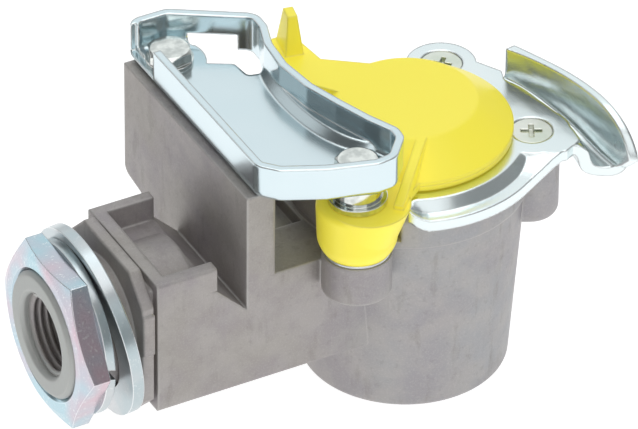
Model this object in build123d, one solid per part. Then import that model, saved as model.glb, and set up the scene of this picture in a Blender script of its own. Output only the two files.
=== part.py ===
from build123d import *
from math import atan2, cos, degrees, hypot, radians, sin, sqrt, tan
import os

# Palm-type quick coupling head for a compressed-air line, in millimetres.
# The origin is the centre of the cup's flat base. Z is the cup's axis, the arm runs towards -X
# and ends in a threaded bulkhead nipple. The pressed claw is on the +X side, the cover's pivot in front (-Y).

# clearances that tie the fits together
RUNNING = 0.05          # radial gap between a pin or sleeve and its bore
THREAD_GAP = 0.05       # radial gap between a screw's plain shank and its tapped hole
SEAT_GAP = 0.10         # face to face gap of parts that move on each other
SEAL_GAP = 0.10         # gap left round an uncompressed seal ring
CLEARANCE_HOLE = 0.3    # radial play of a screw in the hole of the part that it clamps

# cup of the casting
CUP_BASE_R = 25.5
CUP_SHOULDER_R = 29.0   # tapered outside, measured at the rim line
CUP_BASE_ROUND = 1.5
RIM_LINE_Z = 50.5
RIM_R = 29.6
RIM_EDGE_Z = 58.0
RIM_TOP_R = 27.2
PLATE_SEAT_Z = 61.0
CHAMBER_FLOOR = 5.0
CHAMBER_R = 20.0
FLOOR_BOSS_R = 8.0
FLOOR_BOSS_H = 3.0

# arm of the casting
ARM_HALF_WIDTH = 18.0
ARM_AXIS_Z = 37.0
ARM_HALF_HEIGHT = 18.5
ARM_END_X = -76.9
ARM_EDGE_ROUND = 0.8
LEDGE_Z = 48.8
LEDGE_STEP = 4.0
LEDGE_RIB = 16.0
POCKET_RIB = 3.3
POCKET_DEPTH = 6.5
PORT_BOSS_R = 15.0
PORT_BOSS_END_X = -62.7
BLOCK_END_X = -61.0
NOTCH_TOP_DROP = 3.5
NOTCH_FLOOR_Z = 40.7
CORE_DEPTH = 5.5
CORE_RIB = 3.0
CORE_WALL = 3.6
CORE_LENGTH = 24.0

# upright wall that carries the bracket
WALL_X = -53.0
WALL_THICK = 7.5
WALL_TOP_Z = 73.1
WALL_REAR_Y = 45.5
WALL_REAR_Z = 41.5
WALL_HEEL_Y = 37.0
WALL_HEEL_Z = 40.0
WALL_HEEL_ROUND = 2.5

# collar, groove and nipple
GROOVE_WIDTH = 1.3
GROOVE_DEPTH = 2.6
COLLAR_THICK = 3.2
COLLAR_ROUND = 0.5
COLLAR_HALF_WIDTH = 18.8
COLLAR_HALF_HEIGHT = 20.5
COLLAR_CHAMFER = 7.0
COLLAR_PAD_HEIGHT = 18.0
COLLAR_PAD_STEP = 0.7
NIPPLE_R = 16.0
NIPPLE_LENGTH = 17.6
NIPPLE_CHAMFER = 1.0
PORT_R = 10.5           # G 1/2 tapped port, at the root of its thread
PORT_DEPTH = 22.0
PORT_CHAMFER = 0.8
PASSAGE_R = 5.5
PASSAGE_Z = 33.0

# bulkhead washer, lock washer and nut
WASHER_R = 24.2
WASHER_THICK = 3.0
WASHER_BORE_R = 17.2
WASHER_LEAN = 7.4       # the loose washer leans from the collar's lower edge to the lock washer's top
WASHER_RISE = 0.3
LOCK_STANDOFF = 8.6     # from the collar's face to the lock washer
LOCK_R = 21.6
LOCK_BORE_R = 16.3
LOCK_THICK = 2.3
LOCK_SLIT = 2.6
LOCK_SLIT_SKEW = 18.0
NUT_ACROSS_FLATS = 41.0
NUT_HEIGHT = 6.0
NUT_FACE_R = 19.5
NUT_CHAMFER = 1.6       # along the axis, at the corners
NUT_BORE_CHAMFER = 0.9

# claw plate and its screws
PLATE_THICK = 3.0
PLATE_HOLE_R = 17.6
PLATE_RING_R = 27.4
SCREW_CIRCLE_R = 30.0
SCREW_ANGLES = (45.0, -27.0)
SCREW_LOBE_R = (8.6, 9.6)
COIN_STEP = 0.2         # the sheet is thinner by this on both faces where the claw leaves the plate
SCREW_EAR_R = 7.0
SCREW_EAR_BASE_Z = 40.5
SCREW_EAR_ROUND = 2.5
SCREW_R = 2.5
SCREW_HEAD_R = 5.2
SCREW_LENGTH = 16.0
SCREW_SINK = 0.15
SCREW_CONE = 2.6
RECESS_ARM = 5.2        # cross recess in the head
RECESS_WIDTH = 1.2
RECESS_DEPTH = 1.6

# front flange of the claw plate
FLANGE_R = 33.5
FLANGE_DROP = 2.8
FLANGE_START = -110.0
FLANGE_BEND = -64.0     # from here on its step fades out and it widens towards the claw
LIP_R = 28.3
JOGGLE_RUN = 2.0
# direction, outer radius and drop below the plate where the step begins, and where the flange widens
FLANGE_LEAD = [(-118.0, 32.0, 0.9), (-115.0, 32.8, 1.7), (-112.0, 33.3, 2.4), (-109.0, 33.5, 2.8)]
FLANGE_FLARE = [(-66.0, 33.5, 2.8), (-62.0, 33.5, 2.8), (-59.0, 33.5, 2.8), (-56.0, 33.7, 2.7), (-53.0, 34.1, 2.4),
                (-50.0, 34.8, 1.9), (-47.0, 35.7, 1.2), (-44.5, 36.6, 0.5), (-41.5, 37.8, 0.0), (-36.0, 40.0, 0.0)]
FLANGE_ROOT_R = 21.6

# claw: a bent channel whose floor dips from the plate's level towards its mouth
CLAW_RISE = 7.5         # height of its wall over the plate
CLAW_FALL = 6.6         # depth of its floor under the plate, where it is lowest
CLAW_CREASE = [(30.6, 9.4), (34.2, 3.0), (35.7, -4.6), (36.8, -12.0), (36.6, -19.0), (35.0, -29.0)]
CLAW_FOOT = [(32.6, 9.7), (36.4, 2.2), (39.1, -5.4), (40.9, -13.2), (41.8, -22.0), (43.0, -35.0)]
CLAW_DIP_Y = (14.0, -22.0)      # where the floor starts to dip and where it is lowest
CLAW_START_DIP = 0.5
CLAW_HEEL_SHARE = 0.12          # how far the leg leans into the channel, as a share of its width
CLAW_LAP = 4.0
CLAW_COVE = 2.4
CLAW_SECTIONS = 10
CLAW_MOUTH_ANGLE = -28.8        # direction of the mouth's edge
CLAW_MOUTH = 5.0                # distance of that edge from the cup's axis
CLAW_NOSE = (8.4, -2.2)         # the wall's foremost point: distance and height over the plate
CLAW_TOP_END = -5.5             # distance at which the wall's level top ends
CLAW_WALL_SHARE = 50.3          # along the mouth's edge, where the upright wall begins
PLATE_WEB = [(0, 0), (20, 20), (29, 17.7), (32.5, 11.4), (31.4, 8.0), (34.8, -5), (36, -12.5), (35.7, -19),
             (35.2, -22.5), (30, -25), (26, -24)]

# cover pivot
PIVOT = (-26.0, -23.0)
PIVOT_BOSS_R = 8.5
PIVOT_BOSS_BASE_Z = 42.0
PIVOT_BOSS_TOP_Z = 52.5
BUSH_BARREL_R = 4.2
BUSH_FLANGE_R = 7.2
BUSH_FLANGE_H = 1.7
BUSH_HEAD_R = 5.9
THRUST_THICK = 0.8
BOLT_R = 3.0
BOLT_DEPTH = 8.5
BOLT_HEAD_FLATS = 10.0
BOLT_HEAD_H = 4.0
BOLT_FLANGE_R = 5.9
BOLT_FLANGE_H = 1.2
BOLT_HEAD_EDGE = 0.7    # height of the rounded part of the head
BOLT_HEAD_TOP_R = 4.7
BOLT_TURNS = (10.0, 20.0)
REAR_BOLT = (-44.2, 38.6)
REAR_BOLT_LENGTH = 14.0
REAR_BOSS_R = 6.6
REAR_BOSS_H = 22.0

# cover
HUB_BASE_R = 8.2
HUB_BELLY_R = 9.7        # the hub is fullest a little above its base
HUB_BELLY_RISE = 4.2
HUB_TOP_R = 10.0
HUB_TOP_ROUND = 1.6
HUB_TOP_Z = 67.0
HUB_WEB = 4.0
HUB_CAVITY_R = 7.4
HUB_LEAN = 3.0
HUB_LEAN_ANGLE = -50.0
HUB_RELIEF = 1.0
DISC_R = 25.7
DISC_UNDER_Z = 65.8
DISC_EDGE = 1.1
DOME_R = 16.8
DOME_TOP_Z = 73.8
COVER_WALL = 2.2
DOME_ROUND = 1.5
PAD_R = 13.2
PAD_BORE_R = 10.6
NECK_THICK = 2.0
NECK_R = 14.0
RIB_THICK = 2.4
RIDGE_START_R = 10.4
RIDGE_START_H = 1.2
RIDGE_END = (-3.0, -14.0)
RIDGE_FLAT = 3.0
TAIL_THICK = 1.9
TAIL = [(0.0, 16.0), (-10.7, 24.0), (-11.6, 33.0), (-11.6, 37.0), (-19.5, 37.0), (-19.5, 18.0), (-12.0, 8.0)]
TAB_TOP_Z = 84.0
TAB_BASE = (5.0, 9.0)
TAB_TIP = (2.4, 4.0)
TAB_PLACE = (-14.8, 32.0)
TAB_TURN = -12.0

# springs
COVER_WIRE = 1.2
COVER_COIL_R = 5.9
COVER_COIL_LIFT = 3.6   # height of the lowest coil over the hub's base
COVER_COIL_HEIGHT = 5.2
COVER_TURNS = 4
COVER_HOOK = 2.5         # how far the spring's ends reach into the hub's web and into the boss
COVER_HOOK_R = 0.55
COVER_SPRING_TURN = 173.0
RETURN_WIRE = 1.8
RETURN_COIL_R = 9.9
RETURN_TURNS = 6

# bracket
SHEET = 2.0
BRACKET_RIM_Z = 82.9
BEND_R = 4.0            # corners of the flange, seen from above
BEND_UNDER_R = 2.2
BEND_INNER_R = 1.5
LEDGE_RISE = 2.0
BRACKET_LEFT_X = -51.2
BRACKET_REAR_Y = 48.6
BRACKET_OUTLINE = [
    (BRACKET_LEFT_X, BRACKET_REAR_Y), (BRACKET_LEFT_X, -19.0), (-47.2, -23.4), (-37.0, -28.2), (-25.0, -31.8),
    (-20.0, -31.2), (-14.6, -25.0), (-14.2, -21.0), (-17.6, -13.5), (-20.6, -5.0), (-23.6, 4.5), (-24.9, 15.0),
    (-24.0, 24.0), (-21.6, 31.0), (-21.4, 35.8), (-23.0, 37.8), (-40.0, BRACKET_REAR_Y),
]
# smooth step up of the bracket's floor along its right side: poles of its foot's line, and how far its slope runs
STEP_LINE = [(-12.0, -18.0), (-24.0, -22.0), (-30.0, -8.0), (-31.0, 6.0), (-29.5, 22.0), (-29.0, 32.0), (-18.0, 31.0)]
STEP_RUN = (2.2, 0.4)
STEP_SINK = 0.4
WINDOW = [(-34.4, 49.0), (-20.0, 40.0), (-20.6, 34.0), (-26.9, 23.6), (-30.4, 24.4), (-31.0, 30.2), (-37.2, 33.8)]
WINDOW_ROUND = 1.5
WINDOW_LOBE_R = 9.0     # the floor keeps this much round the rear bolt
RELIEF_Y = 33.6
STRAP_LOW_Z = 77.4      # lower edge of the rear strap over the window
STRAP_WINDOW = [(-36.5, 52.0), (-24.5, 44.0), (-26.0, 36.5), (-36.5, 42.0)]

# valve
GUIDE_R = 21.5
GUIDE_SEAT_Z = 45.5
GUIDE_WEB = 6.5
GROOVE_LIFT = 1.7       # sleeve seal's groove over the guide ring's seat
SIDE_GROOVE_LIFT = 1.2  # outer seal's groove over the guide ring's web
GUIDE_RECESS_R = 17.6
GUIDE_TOP_Z = 58.4
RING_THICK = 1.5
RING_DEPTH = 1.2
RING_WIDTH = 3.4
RING_OPENING = 24.0
RING_TURN = 200.0       # direction of its opening
RING_EYE_R = 2.0
RING_EYE_HOLE_R = 0.9
RING_EYE_ANGLE = 5.0    # from the opening's edge to an eye
SLEEVE_R = 12.0
SLEEVE_FLANGE_R = 16.0
SLEEVE_BASE_Z = 38.0
SLEEVE_FLANGE_Z = 56.0
SLEEVE_TOP_Z = 60.6
SLEEVE_INLET_R = 8.0
SLEEVE_SEAT_R = 6.0
SLEEVE_SEAT_THICK = 2.8
SLEEVE_BORE_R = 8.8
DISC_SEAT_Z = 50.0
SEAL_PROUD = 0.6        # height of the seal's lip over the claw plate
SEAL_LIP_CHAMFER = 1.4
SEAL_LIP_RIM = 2.0
SEAL_INNER_R = 9.4
SEAL_OUTER_R = 15.4
SEAL_FOOT = (10.4, 14.4)
SEAL_FOOT_DEPTH = 3.0
CORD_R = 1.05           # section radius of the two seal rings
STEM_R = 3.2
STEM_NECK_R = 4.4
STEM_FOOT_R = 7.0
STEM_FOOT_H = 3.0
STEM_TOP_Z = 58.2
VALVE_DISC_R = 7.5
VALVE_DISC_H = 3.0
BACKING_R = 6.6
BACKING_H = 1.2
STEM_NUT_FLATS = 10.0
STEM_NUT_H = 3.6
SPRING_SEAT_H = 1.0


def at_angle(radius, angle):
    return radius * cos(radians(angle)), radius * sin(radians(angle))


def outline(points):
    return make_face(Polyline(*points, close=True))


def prism(points, z_low, z_high):
    return Pos(0, 0, z_low) * extrude(outline(points), z_high - z_low)


def turned(profile, axis=Axis.Z):
    """Solid turned about the cup's axis from (radius, height) points."""
    return revolve(Plane.XZ * outline(profile), axis, 360)


def turned_on_arm(profile):
    """Solid turned about the nipple's axis from (x, radius) points."""
    points = [(x, ARM_AXIS_Z + r) for x, r in profile]
    return revolve(Plane.XZ * outline(points), Axis((0, 0, ARM_AXIS_Z), (1, 0, 0)), 360)


def post(radius, z_low, z_high, place=(0, 0)):
    return Pos(place[0], place[1], z_low) * Cylinder(
        radius, z_high - z_low, align=(Align.CENTER, Align.CENTER, Align.MIN))


def block(low, high):
    size = [b - a for a, b in zip(low, high)]
    return Pos(*low) * Box(*size, align=(Align.MIN, Align.MIN, Align.MIN))


def hexagon(flats, z_low, z_high, place=(0, 0), turn=0.0):
    face = Rot(0, 0, turn) * RegularPolygon(flats / 2, 6, major_radius=False)
    return Pos(place[0], place[1], z_low) * extrude(face, z_high - z_low)


def coil(wire, radius, z_low, z_high, turns):
    """Helical spring with flat ground ends between two heights."""
    pitch = (z_high - z_low) / (turns - 0.5)
    path = Helix(pitch, z_high - z_low + pitch, radius)
    section = Plane(path @ 0, z_dir=path % 0) * Circle(wire / 2)
    spring = Pos(0, 0, z_low - pitch / 2) * sweep(section, path)
    return spring & block((-2 * radius, -2 * radius, z_low), (2 * radius, 2 * radius, z_high))


def cup_radius(z):
    return CUP_BASE_R + (CUP_SHOULDER_R - CUP_BASE_R) * z / RIM_LINE_Z


def screw_places():
    return [at_angle(SCREW_CIRCLE_R, a) for a in SCREW_ANGLES]


# heights and places that follow from the sizes above
PLATE_TOP_Z = PLATE_SEAT_Z + PLATE_THICK
CLAW_TOP_Z = PLATE_TOP_Z + CLAW_RISE
CLAW_FLOOR_Z = PLATE_TOP_Z - CLAW_FALL
CLAW_NOSE_Z = PLATE_TOP_Z + CLAW_NOSE[1]
CLAW_THICK = PLATE_THICK - 2 * COIN_STEP
WALL_BACK_X = WALL_X + WALL_THICK
ARM_TOP_Z = ARM_AXIS_Z + ARM_HALF_HEIGHT
ARM_BASE_Z = ARM_AXIS_Z - ARM_HALF_HEIGHT
COLLAR_BACK_X = ARM_END_X - GROOVE_WIDTH
COLLAR_FACE_X = COLLAR_BACK_X - COLLAR_THICK
NIPPLE_END_X = COLLAR_FACE_X - NIPPLE_LENGTH
LOCK_BACK_X = COLLAR_FACE_X - LOCK_STANDOFF
LOCK_FACE_X = LOCK_BACK_X - LOCK_THICK
NUT_FACE_X = LOCK_FACE_X - NUT_HEIGHT
HUB_BASE_Z = PIVOT_BOSS_TOP_Z + THRUST_THICK + SEAT_GAP
COVER_COIL_Z = HUB_BASE_Z + COVER_COIL_LIFT
BUSH_HEAD_Z = HUB_TOP_Z + SEAT_GAP
RELIEF_R = HUB_TOP_R + HUB_RELIEF
FLOOR_TOP_Z = WALL_TOP_Z + SHEET
SEAL_TOP_Z = PLATE_TOP_Z + SEAL_PROUD
GUIDE_WEB_TOP_Z = GUIDE_SEAT_Z + GUIDE_WEB
GROOVE_SEAT_Z = GUIDE_SEAT_Z + GROOVE_LIFT
SIDE_GROOVE_Z = GUIDE_WEB_TOP_Z + SIDE_GROOVE_LIFT
RING_SEAT_Z = GUIDE_TOP_Z + SEAT_GAP


def casting():
    cup = turned([
        (0, 0), (CUP_BASE_R, 0), (cup_radius(RIM_LINE_Z), RIM_LINE_Z), (RIM_R, RIM_LINE_Z),
        (RIM_R, RIM_EDGE_Z), (RIM_TOP_R, PLATE_SEAT_Z), (0, PLATE_SEAT_Z),
    ])
    cup = fillet(cup.edges().group_by(Axis.Z)[0], CUP_BASE_ROUND)
    solid = cup + arm() + wall() + collar_and_nipple() + screw_ears()
    solid += post(PIVOT_BOSS_R, PIVOT_BOSS_BASE_Z, PIVOT_BOSS_TOP_Z, PIVOT)
    return solid - hollows()


def arm():
    solid = block((ARM_END_X, -ARM_HALF_WIDTH, ARM_BASE_Z), (-CHAMBER_R / 2, ARM_HALF_WIDTH, ARM_TOP_Z))
    solid = fillet(solid.edges().filter_by(Axis.X), ARM_EDGE_ROUND)
    # lower top between the wall and the cup, with a step down behind its front rib
    solid -= block((WALL_BACK_X, -ARM_HALF_WIDTH, LEDGE_Z), (0, ARM_HALF_WIDTH, ARM_TOP_Z))
    solid -= block((WALL_BACK_X, LEDGE_RIB - ARM_HALF_WIDTH, LEDGE_Z - LEDGE_STEP),
                   (-RIM_R, ARM_HALF_WIDTH - POCKET_RIB, LEDGE_Z))
    # open pocket over the port boss, between two side ribs and the end rib
    inside = ARM_HALF_WIDTH - POCKET_RIB
    pocket = block((ARM_END_X + POCKET_RIB, -inside, ARM_TOP_Z - POCKET_DEPTH), (WALL_X, inside, ARM_TOP_Z))
    boss = turned_on_arm([(ARM_END_X, 0), (ARM_END_X, PORT_BOSS_R),
                          (PORT_BOSS_END_X, PORT_BOSS_R), (PORT_BOSS_END_X, 0)])
    solid -= pocket - boss
    # notch between the block and the wall, with a sloping floor
    notch = Plane.XZ * outline([
        (PORT_BOSS_END_X, ARM_TOP_Z - POCKET_DEPTH), (BLOCK_END_X, ARM_TOP_Z - POCKET_DEPTH),
        (BLOCK_END_X, ARM_TOP_Z), (WALL_X, ARM_TOP_Z), (WALL_X, NOTCH_FLOOR_Z),
        (BLOCK_END_X, ARM_TOP_Z - NOTCH_TOP_DROP - POCKET_DEPTH / 2),
    ])
    solid -= extrude(notch, ARM_HALF_WIDTH, both=True)
    # cored pockets in the underside, each side of a middle rib
    start = PORT_BOSS_END_X + CORE_WALL
    for side in (-1, 1):
        edges = sorted((side * CORE_RIB / 2, side * (ARM_HALF_WIDTH - CORE_WALL)))
        solid -= block((start, edges[0], ARM_BASE_Z), (start + CORE_LENGTH, edges[1], ARM_BASE_Z + CORE_DEPTH))
    return solid


def wall():
    side = Plane.YZ * outline([
        (-ARM_HALF_WIDTH, ARM_BASE_Z + CORE_DEPTH), (-ARM_HALF_WIDTH, WALL_TOP_Z), (WALL_REAR_Y, WALL_TOP_Z),
        (WALL_REAR_Y, WALL_REAR_Z), (WALL_HEEL_Y, WALL_HEEL_Z), (ARM_HALF_WIDTH, ARM_BASE_Z + CORE_DEPTH),
    ])
    heel = side.vertices().sort_by(Axis.Y)[-3:]
    side = fillet(heel.sort_by(Axis.Z)[:2], WALL_HEEL_ROUND)
    solid = Pos(WALL_X, 0, 0) * extrude(side, WALL_THICK)
    rear = post(REAR_BOSS_R, WALL_TOP_Z - REAR_BOSS_H, WALL_TOP_Z, REAR_BOLT)
    return solid + rear


def collar_and_nipple():
    half, tall, cut = COLLAR_HALF_WIDTH, COLLAR_HALF_HEIGHT, COLLAR_CHAMFER
    corners = [(half, tall - cut), (half - cut, tall), (cut - half, tall), (-half, tall - cut),
               (-half, cut - tall), (cut - half, -tall), (half - cut, -tall), (half, cut - tall)]
    plate = Pos(COLLAR_FACE_X, 0, ARM_AXIS_Z) * extrude(Plane.YZ * outline(corners), COLLAR_THICK)
    plate = fillet(plate.edges(), COLLAR_ROUND)
    pad = block((COLLAR_FACE_X, -half - COLLAR_PAD_STEP, ARM_AXIS_Z),
                (COLLAR_BACK_X, half + COLLAR_PAD_STEP, ARM_AXIS_Z + COLLAR_PAD_HEIGHT - cut + COLLAR_PAD_STEP))
    pad = fillet(pad.edges(), COLLAR_ROUND)
    core_half = ARM_HALF_WIDTH - GROOVE_DEPTH
    core = block((COLLAR_FACE_X, -core_half, ARM_BASE_Z + GROOVE_DEPTH),
                 (ARM_END_X + 1, core_half, ARM_TOP_Z - GROOVE_DEPTH))
    nipple = turned_on_arm([
        (COLLAR_BACK_X, 0), (COLLAR_BACK_X, NIPPLE_R), (NIPPLE_END_X + NIPPLE_CHAMFER, NIPPLE_R),
        (NIPPLE_END_X, NIPPLE_R - NIPPLE_CHAMFER), (NIPPLE_END_X, 0),
    ])
    return plate + pad + core + nipple


def screw_ears():
    ears = []
    for angle in SCREW_ANGLES:
        ear = post(SCREW_EAR_R, SCREW_EAR_BASE_Z, PLATE_SEAT_Z, (SCREW_CIRCLE_R, 0))
        ear += block((CHAMBER_R, -SCREW_EAR_R, SCREW_EAR_BASE_Z), (SCREW_CIRCLE_R, SCREW_EAR_R, PLATE_SEAT_Z))
        ear = fillet(ear.edges().group_by(Axis.Z)[0].filter_by(GeomType.CIRCLE), SCREW_EAR_ROUND)
        ears.append(Rot(0, 0, angle) * ear)
    return ears[0] + ears[1]


def hollows():
    """Everything that is cored or machined out of the casting."""
    chamber = turned([
        (0, CHAMBER_FLOOR + FLOOR_BOSS_H), (FLOOR_BOSS_R, CHAMBER_FLOOR + FLOOR_BOSS_H),
        (FLOOR_BOSS_R, CHAMBER_FLOOR), (CHAMBER_R, CHAMBER_FLOOR), (CHAMBER_R, GUIDE_SEAT_Z),
        (GUIDE_R + RUNNING, GUIDE_SEAT_Z), (GUIDE_R + RUNNING, RING_SEAT_Z),
        (GUIDE_R + RING_DEPTH, RING_SEAT_Z), (GUIDE_R + RING_DEPTH, RING_SEAT_Z + RING_THICK + SEAT_GAP),
        (GUIDE_R + RUNNING, RING_SEAT_Z + RING_THICK + SEAT_GAP), (GUIDE_R + RUNNING, PLATE_SEAT_Z),
        (0, PLATE_SEAT_Z),
    ])
    port_end = NIPPLE_END_X + PORT_DEPTH
    port = turned_on_arm([
        (NIPPLE_END_X, 0), (NIPPLE_END_X, PORT_R + PORT_CHAMFER), (NIPPLE_END_X + PORT_CHAMFER, PORT_R),
        (port_end, PORT_R), (port_end + PASSAGE_R, 0),
    ])
    passage = Pos(port_end, 0, PASSAGE_Z) * Rot(0, 90, 0) * Cylinder(
        PASSAGE_R, -port_end - CHAMBER_R / 2, align=(Align.CENTER, Align.CENTER, Align.MIN))
    cuts = chamber + port + passage
    cuts += post(STEM_R + THREAD_GAP, CHAMBER_FLOOR / 2, CHAMBER_FLOOR + FLOOR_BOSS_H)
    for place in screw_places():
        cuts += post(SCREW_R + THREAD_GAP, PLATE_TOP_Z - SCREW_LENGTH - 1, PLATE_SEAT_Z, place)
    cuts += post(BOLT_R + THREAD_GAP, PIVOT_BOSS_TOP_Z - BOLT_DEPTH - 1, PIVOT_BOSS_TOP_Z, PIVOT)
    cuts += post(RELIEF_R, PIVOT_BOSS_TOP_Z, PLATE_SEAT_Z, PIVOT)
    cuts += spring_hole(PIVOT_BOSS_TOP_Z - COVER_HOOK - SEAT_GAP, PIVOT_BOSS_TOP_Z)
    cuts += post(BOLT_R + THREAD_GAP, WALL_TOP_Z - REAR_BOLT_LENGTH, WALL_TOP_Z, REAR_BOLT)
    return cuts


def claw_plate():
    plate = post(PLATE_RING_R, PLATE_SEAT_Z, PLATE_TOP_Z) + prism(PLATE_WEB, PLATE_SEAT_Z, PLATE_TOP_Z)
    for place, radius in zip(screw_places(), SCREW_LOBE_R):
        plate += post(radius, PLATE_SEAT_Z, PLATE_TOP_Z, place)
    plate += claw()
    plate += front_flange()
    plate -= post(PLATE_HOLE_R, PLATE_SEAT_Z, PLATE_TOP_Z)
    plate -= post(RELIEF_R, PLATE_SEAT_Z - FLANGE_DROP, PLATE_TOP_Z, PIVOT)
    head_z = PLATE_TOP_Z - SCREW_SINK - SEAT_GAP
    head_r = SCREW_HEAD_R + SEAT_GAP
    sink = turned([(0, PLATE_TOP_Z), (head_r, PLATE_TOP_Z), (head_r, head_z),
                   (head_r - SCREW_CONE, head_z - SCREW_CONE), (0, head_z - SCREW_CONE)])
    for place in screw_places():
        plate -= post(SCREW_R + CLEARANCE_HOLE, PLATE_SEAT_Z, PLATE_TOP_Z, place)
        plate -= Pos(place[0], place[1], 0) * sink
    return plate


def flange_profile(outer, drop):
    """Radial cut through the flange: level with the plate inside, stepped down by the drop outside."""
    foot_z = PLATE_SEAT_Z - drop
    step_r = RIM_TOP_R + SEAT_GAP + (RIM_R - RIM_TOP_R) * drop / FLANGE_DROP
    return outline([
        (FLANGE_ROOT_R, PLATE_SEAT_Z), (RIM_TOP_R + SEAT_GAP, PLATE_SEAT_Z), (step_r + SEAT_GAP, foot_z),
        (outer, foot_z), (outer, foot_z + PLATE_THICK), (LIP_R + JOGGLE_RUN, foot_z + PLATE_THICK),
        (LIP_R, PLATE_TOP_Z), (FLANGE_ROOT_R, PLATE_TOP_Z),
    ])


def flange_run(cuts):
    faces = [Rot(0, 0, angle) * (Plane.XZ * flange_profile(outer, drop)) for angle, outer, drop in cuts]
    return loft(faces, ruled=True)


def front_flange():
    stepped = Plane.XZ * flange_profile(FLANGE_R, FLANGE_DROP)
    even = Rot(0, 0, FLANGE_START) * revolve(stepped, Axis.Z, FLANGE_BEND - FLANGE_START)
    return even + flange_run(FLANGE_LEAD) + flange_run(FLANGE_FLARE)


def bent_line(plate, crease, heel, foot, cove, rim):
    """Edges of one face of the bent sheet: from the plate over the crease, along the floor and up the wall."""
    slope = (crease + heel) / 2
    floor = (heel + foot) / 2
    return [Bezier(plate, crease, slope), Bezier(slope, heel, floor), Bezier(floor, foot, cove), Line(cove, rim)]


def claw_section(crease, foot):
    """Cut through the channel, in the upright plane through a point of its crease and of its wall's foot."""
    width = (foot - crease).length
    start_y, low_y = CLAW_DIP_Y
    fall = min(max((start_y - crease.Y) / (start_y - low_y), 0), 1)
    plate_z = PLATE_TOP_Z - COIN_STEP
    start_z = plate_z - CLAW_START_DIP
    floor_z = start_z - (start_z - CLAW_FLOOR_Z) * fall * fall * (3 - 2 * fall)
    inner = [(-CLAW_LAP, plate_z), (0, plate_z), (CLAW_HEEL_SHARE * width, floor_z), (width, floor_z),
             (width, floor_z + CLAW_COVE), (width, CLAW_TOP_Z)]
    sheet = [(0, -1), (-1, -1), (-1, -1), (1, -1), (1, 0), (1, 0)]
    inner = [Vector(*point) for point in inner]
    outer = [point + Vector(*step) * CLAW_THICK for point, step in zip(inner, sheet)]
    edges = bent_line(*inner) + [Line(inner[-1], outer[-1])] + bent_line(*outer) + [Line(outer[0], inner[0])]
    across = foot - crease
    plane = Plane((crease.X, crease.Y, 0), x_dir=across, z_dir=across.cross(Vector(0, 0, 1)))
    return plane * make_face(edges)


def claw():
    crease_line = Spline(*CLAW_CREASE)
    foot_line = Spline(*CLAW_FOOT)
    shares = [i / CLAW_SECTIONS for i in range(CLAW_SECTIONS + 1)]
    channel = loft([claw_section(crease_line @ share, foot_line @ share) for share in shares])
    return channel - Rot(0, 0, CLAW_MOUTH_ANGLE) * claw_trimming()


def claw_trimming():
    """What is cut off in front of the mouth. Here -Y is the way the channel runs."""
    low_z = CLAW_FLOOR_Z - 2 * PLATE_THICK
    high_z = CLAW_TOP_Z + PLATE_THICK
    front_y = -4 * CLAW_MOUTH
    curve = Spline((-CLAW_TOP_END, CLAW_TOP_Z), (-CLAW_NOSE[0], CLAW_NOSE_Z), tangents=((-1, 0), (-0.25, -1)))
    rest = Polyline((-CLAW_NOSE[0], CLAW_NOSE_Z), (-CLAW_MOUTH, CLAW_FLOOR_Z), (-CLAW_MOUTH, low_z),
                    (front_y, low_z), (front_y, high_z), (-CLAW_TOP_END, high_z), (-CLAW_TOP_END, CLAW_TOP_Z))
    nose = extrude(Plane.YZ * make_face([curve, rest]), 2 * CLAW_WALL_SHARE)
    return nose + block((0, front_y, low_z), (CLAW_WALL_SHARE, -CLAW_MOUTH, high_z))


def claw_screws():
    screws = []
    top = PLATE_TOP_Z - SCREW_SINK
    profile = [(0, top), (SCREW_HEAD_R, top), (SCREW_R, top - (SCREW_HEAD_R - SCREW_R)),
               (SCREW_R, top - SCREW_LENGTH), (0, top - SCREW_LENGTH)]
    for place, angle in zip(screw_places(), SCREW_ANGLES):
        recess = Box(RECESS_ARM, RECESS_WIDTH, 2 * RECESS_DEPTH) + Box(RECESS_WIDTH, RECESS_ARM, 2 * RECESS_DEPTH)
        screw = turned(profile) - Pos(0, 0, top) * Rot(0, 0, angle) * recess
        screws.append(Pos(place[0], place[1], 0) * screw)
    return Compound(children=screws)


def bulkhead_washer():
    half = WASHER_THICK / 2
    ring = Plane.YZ * Cylinder(WASHER_R, WASHER_THICK) - Plane.YZ * Cylinder(WASHER_BORE_R, WASHER_THICK)
    lean = radians(WASHER_LEAN)
    middle_x = COLLAR_FACE_X - RUNNING - COLLAR_HALF_HEIGHT * tan(lean) - half / cos(lean)
    middle_x += WASHER_RISE * tan(lean)
    return Pos(middle_x, 0, ARM_AXIS_Z + WASHER_RISE) * Rot(0, -WASHER_LEAN, 0) * ring


def lock_washer():
    ring = turned_on_arm([(LOCK_FACE_X, LOCK_BORE_R), (LOCK_FACE_X, LOCK_R),
                          (LOCK_BACK_X, LOCK_R), (LOCK_BACK_X, LOCK_BORE_R)])
    slit = Box(3 * LOCK_THICK, 2 * LOCK_R, LOCK_SLIT, align=(Align.CENTER, Align.MAX, Align.CENTER))
    middle_x = (LOCK_FACE_X + LOCK_BACK_X) / 2
    return ring - Pos(middle_x, 0, ARM_AXIS_Z) * Rot(0, LOCK_SLIT_SKEW, 0) * slit


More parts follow.
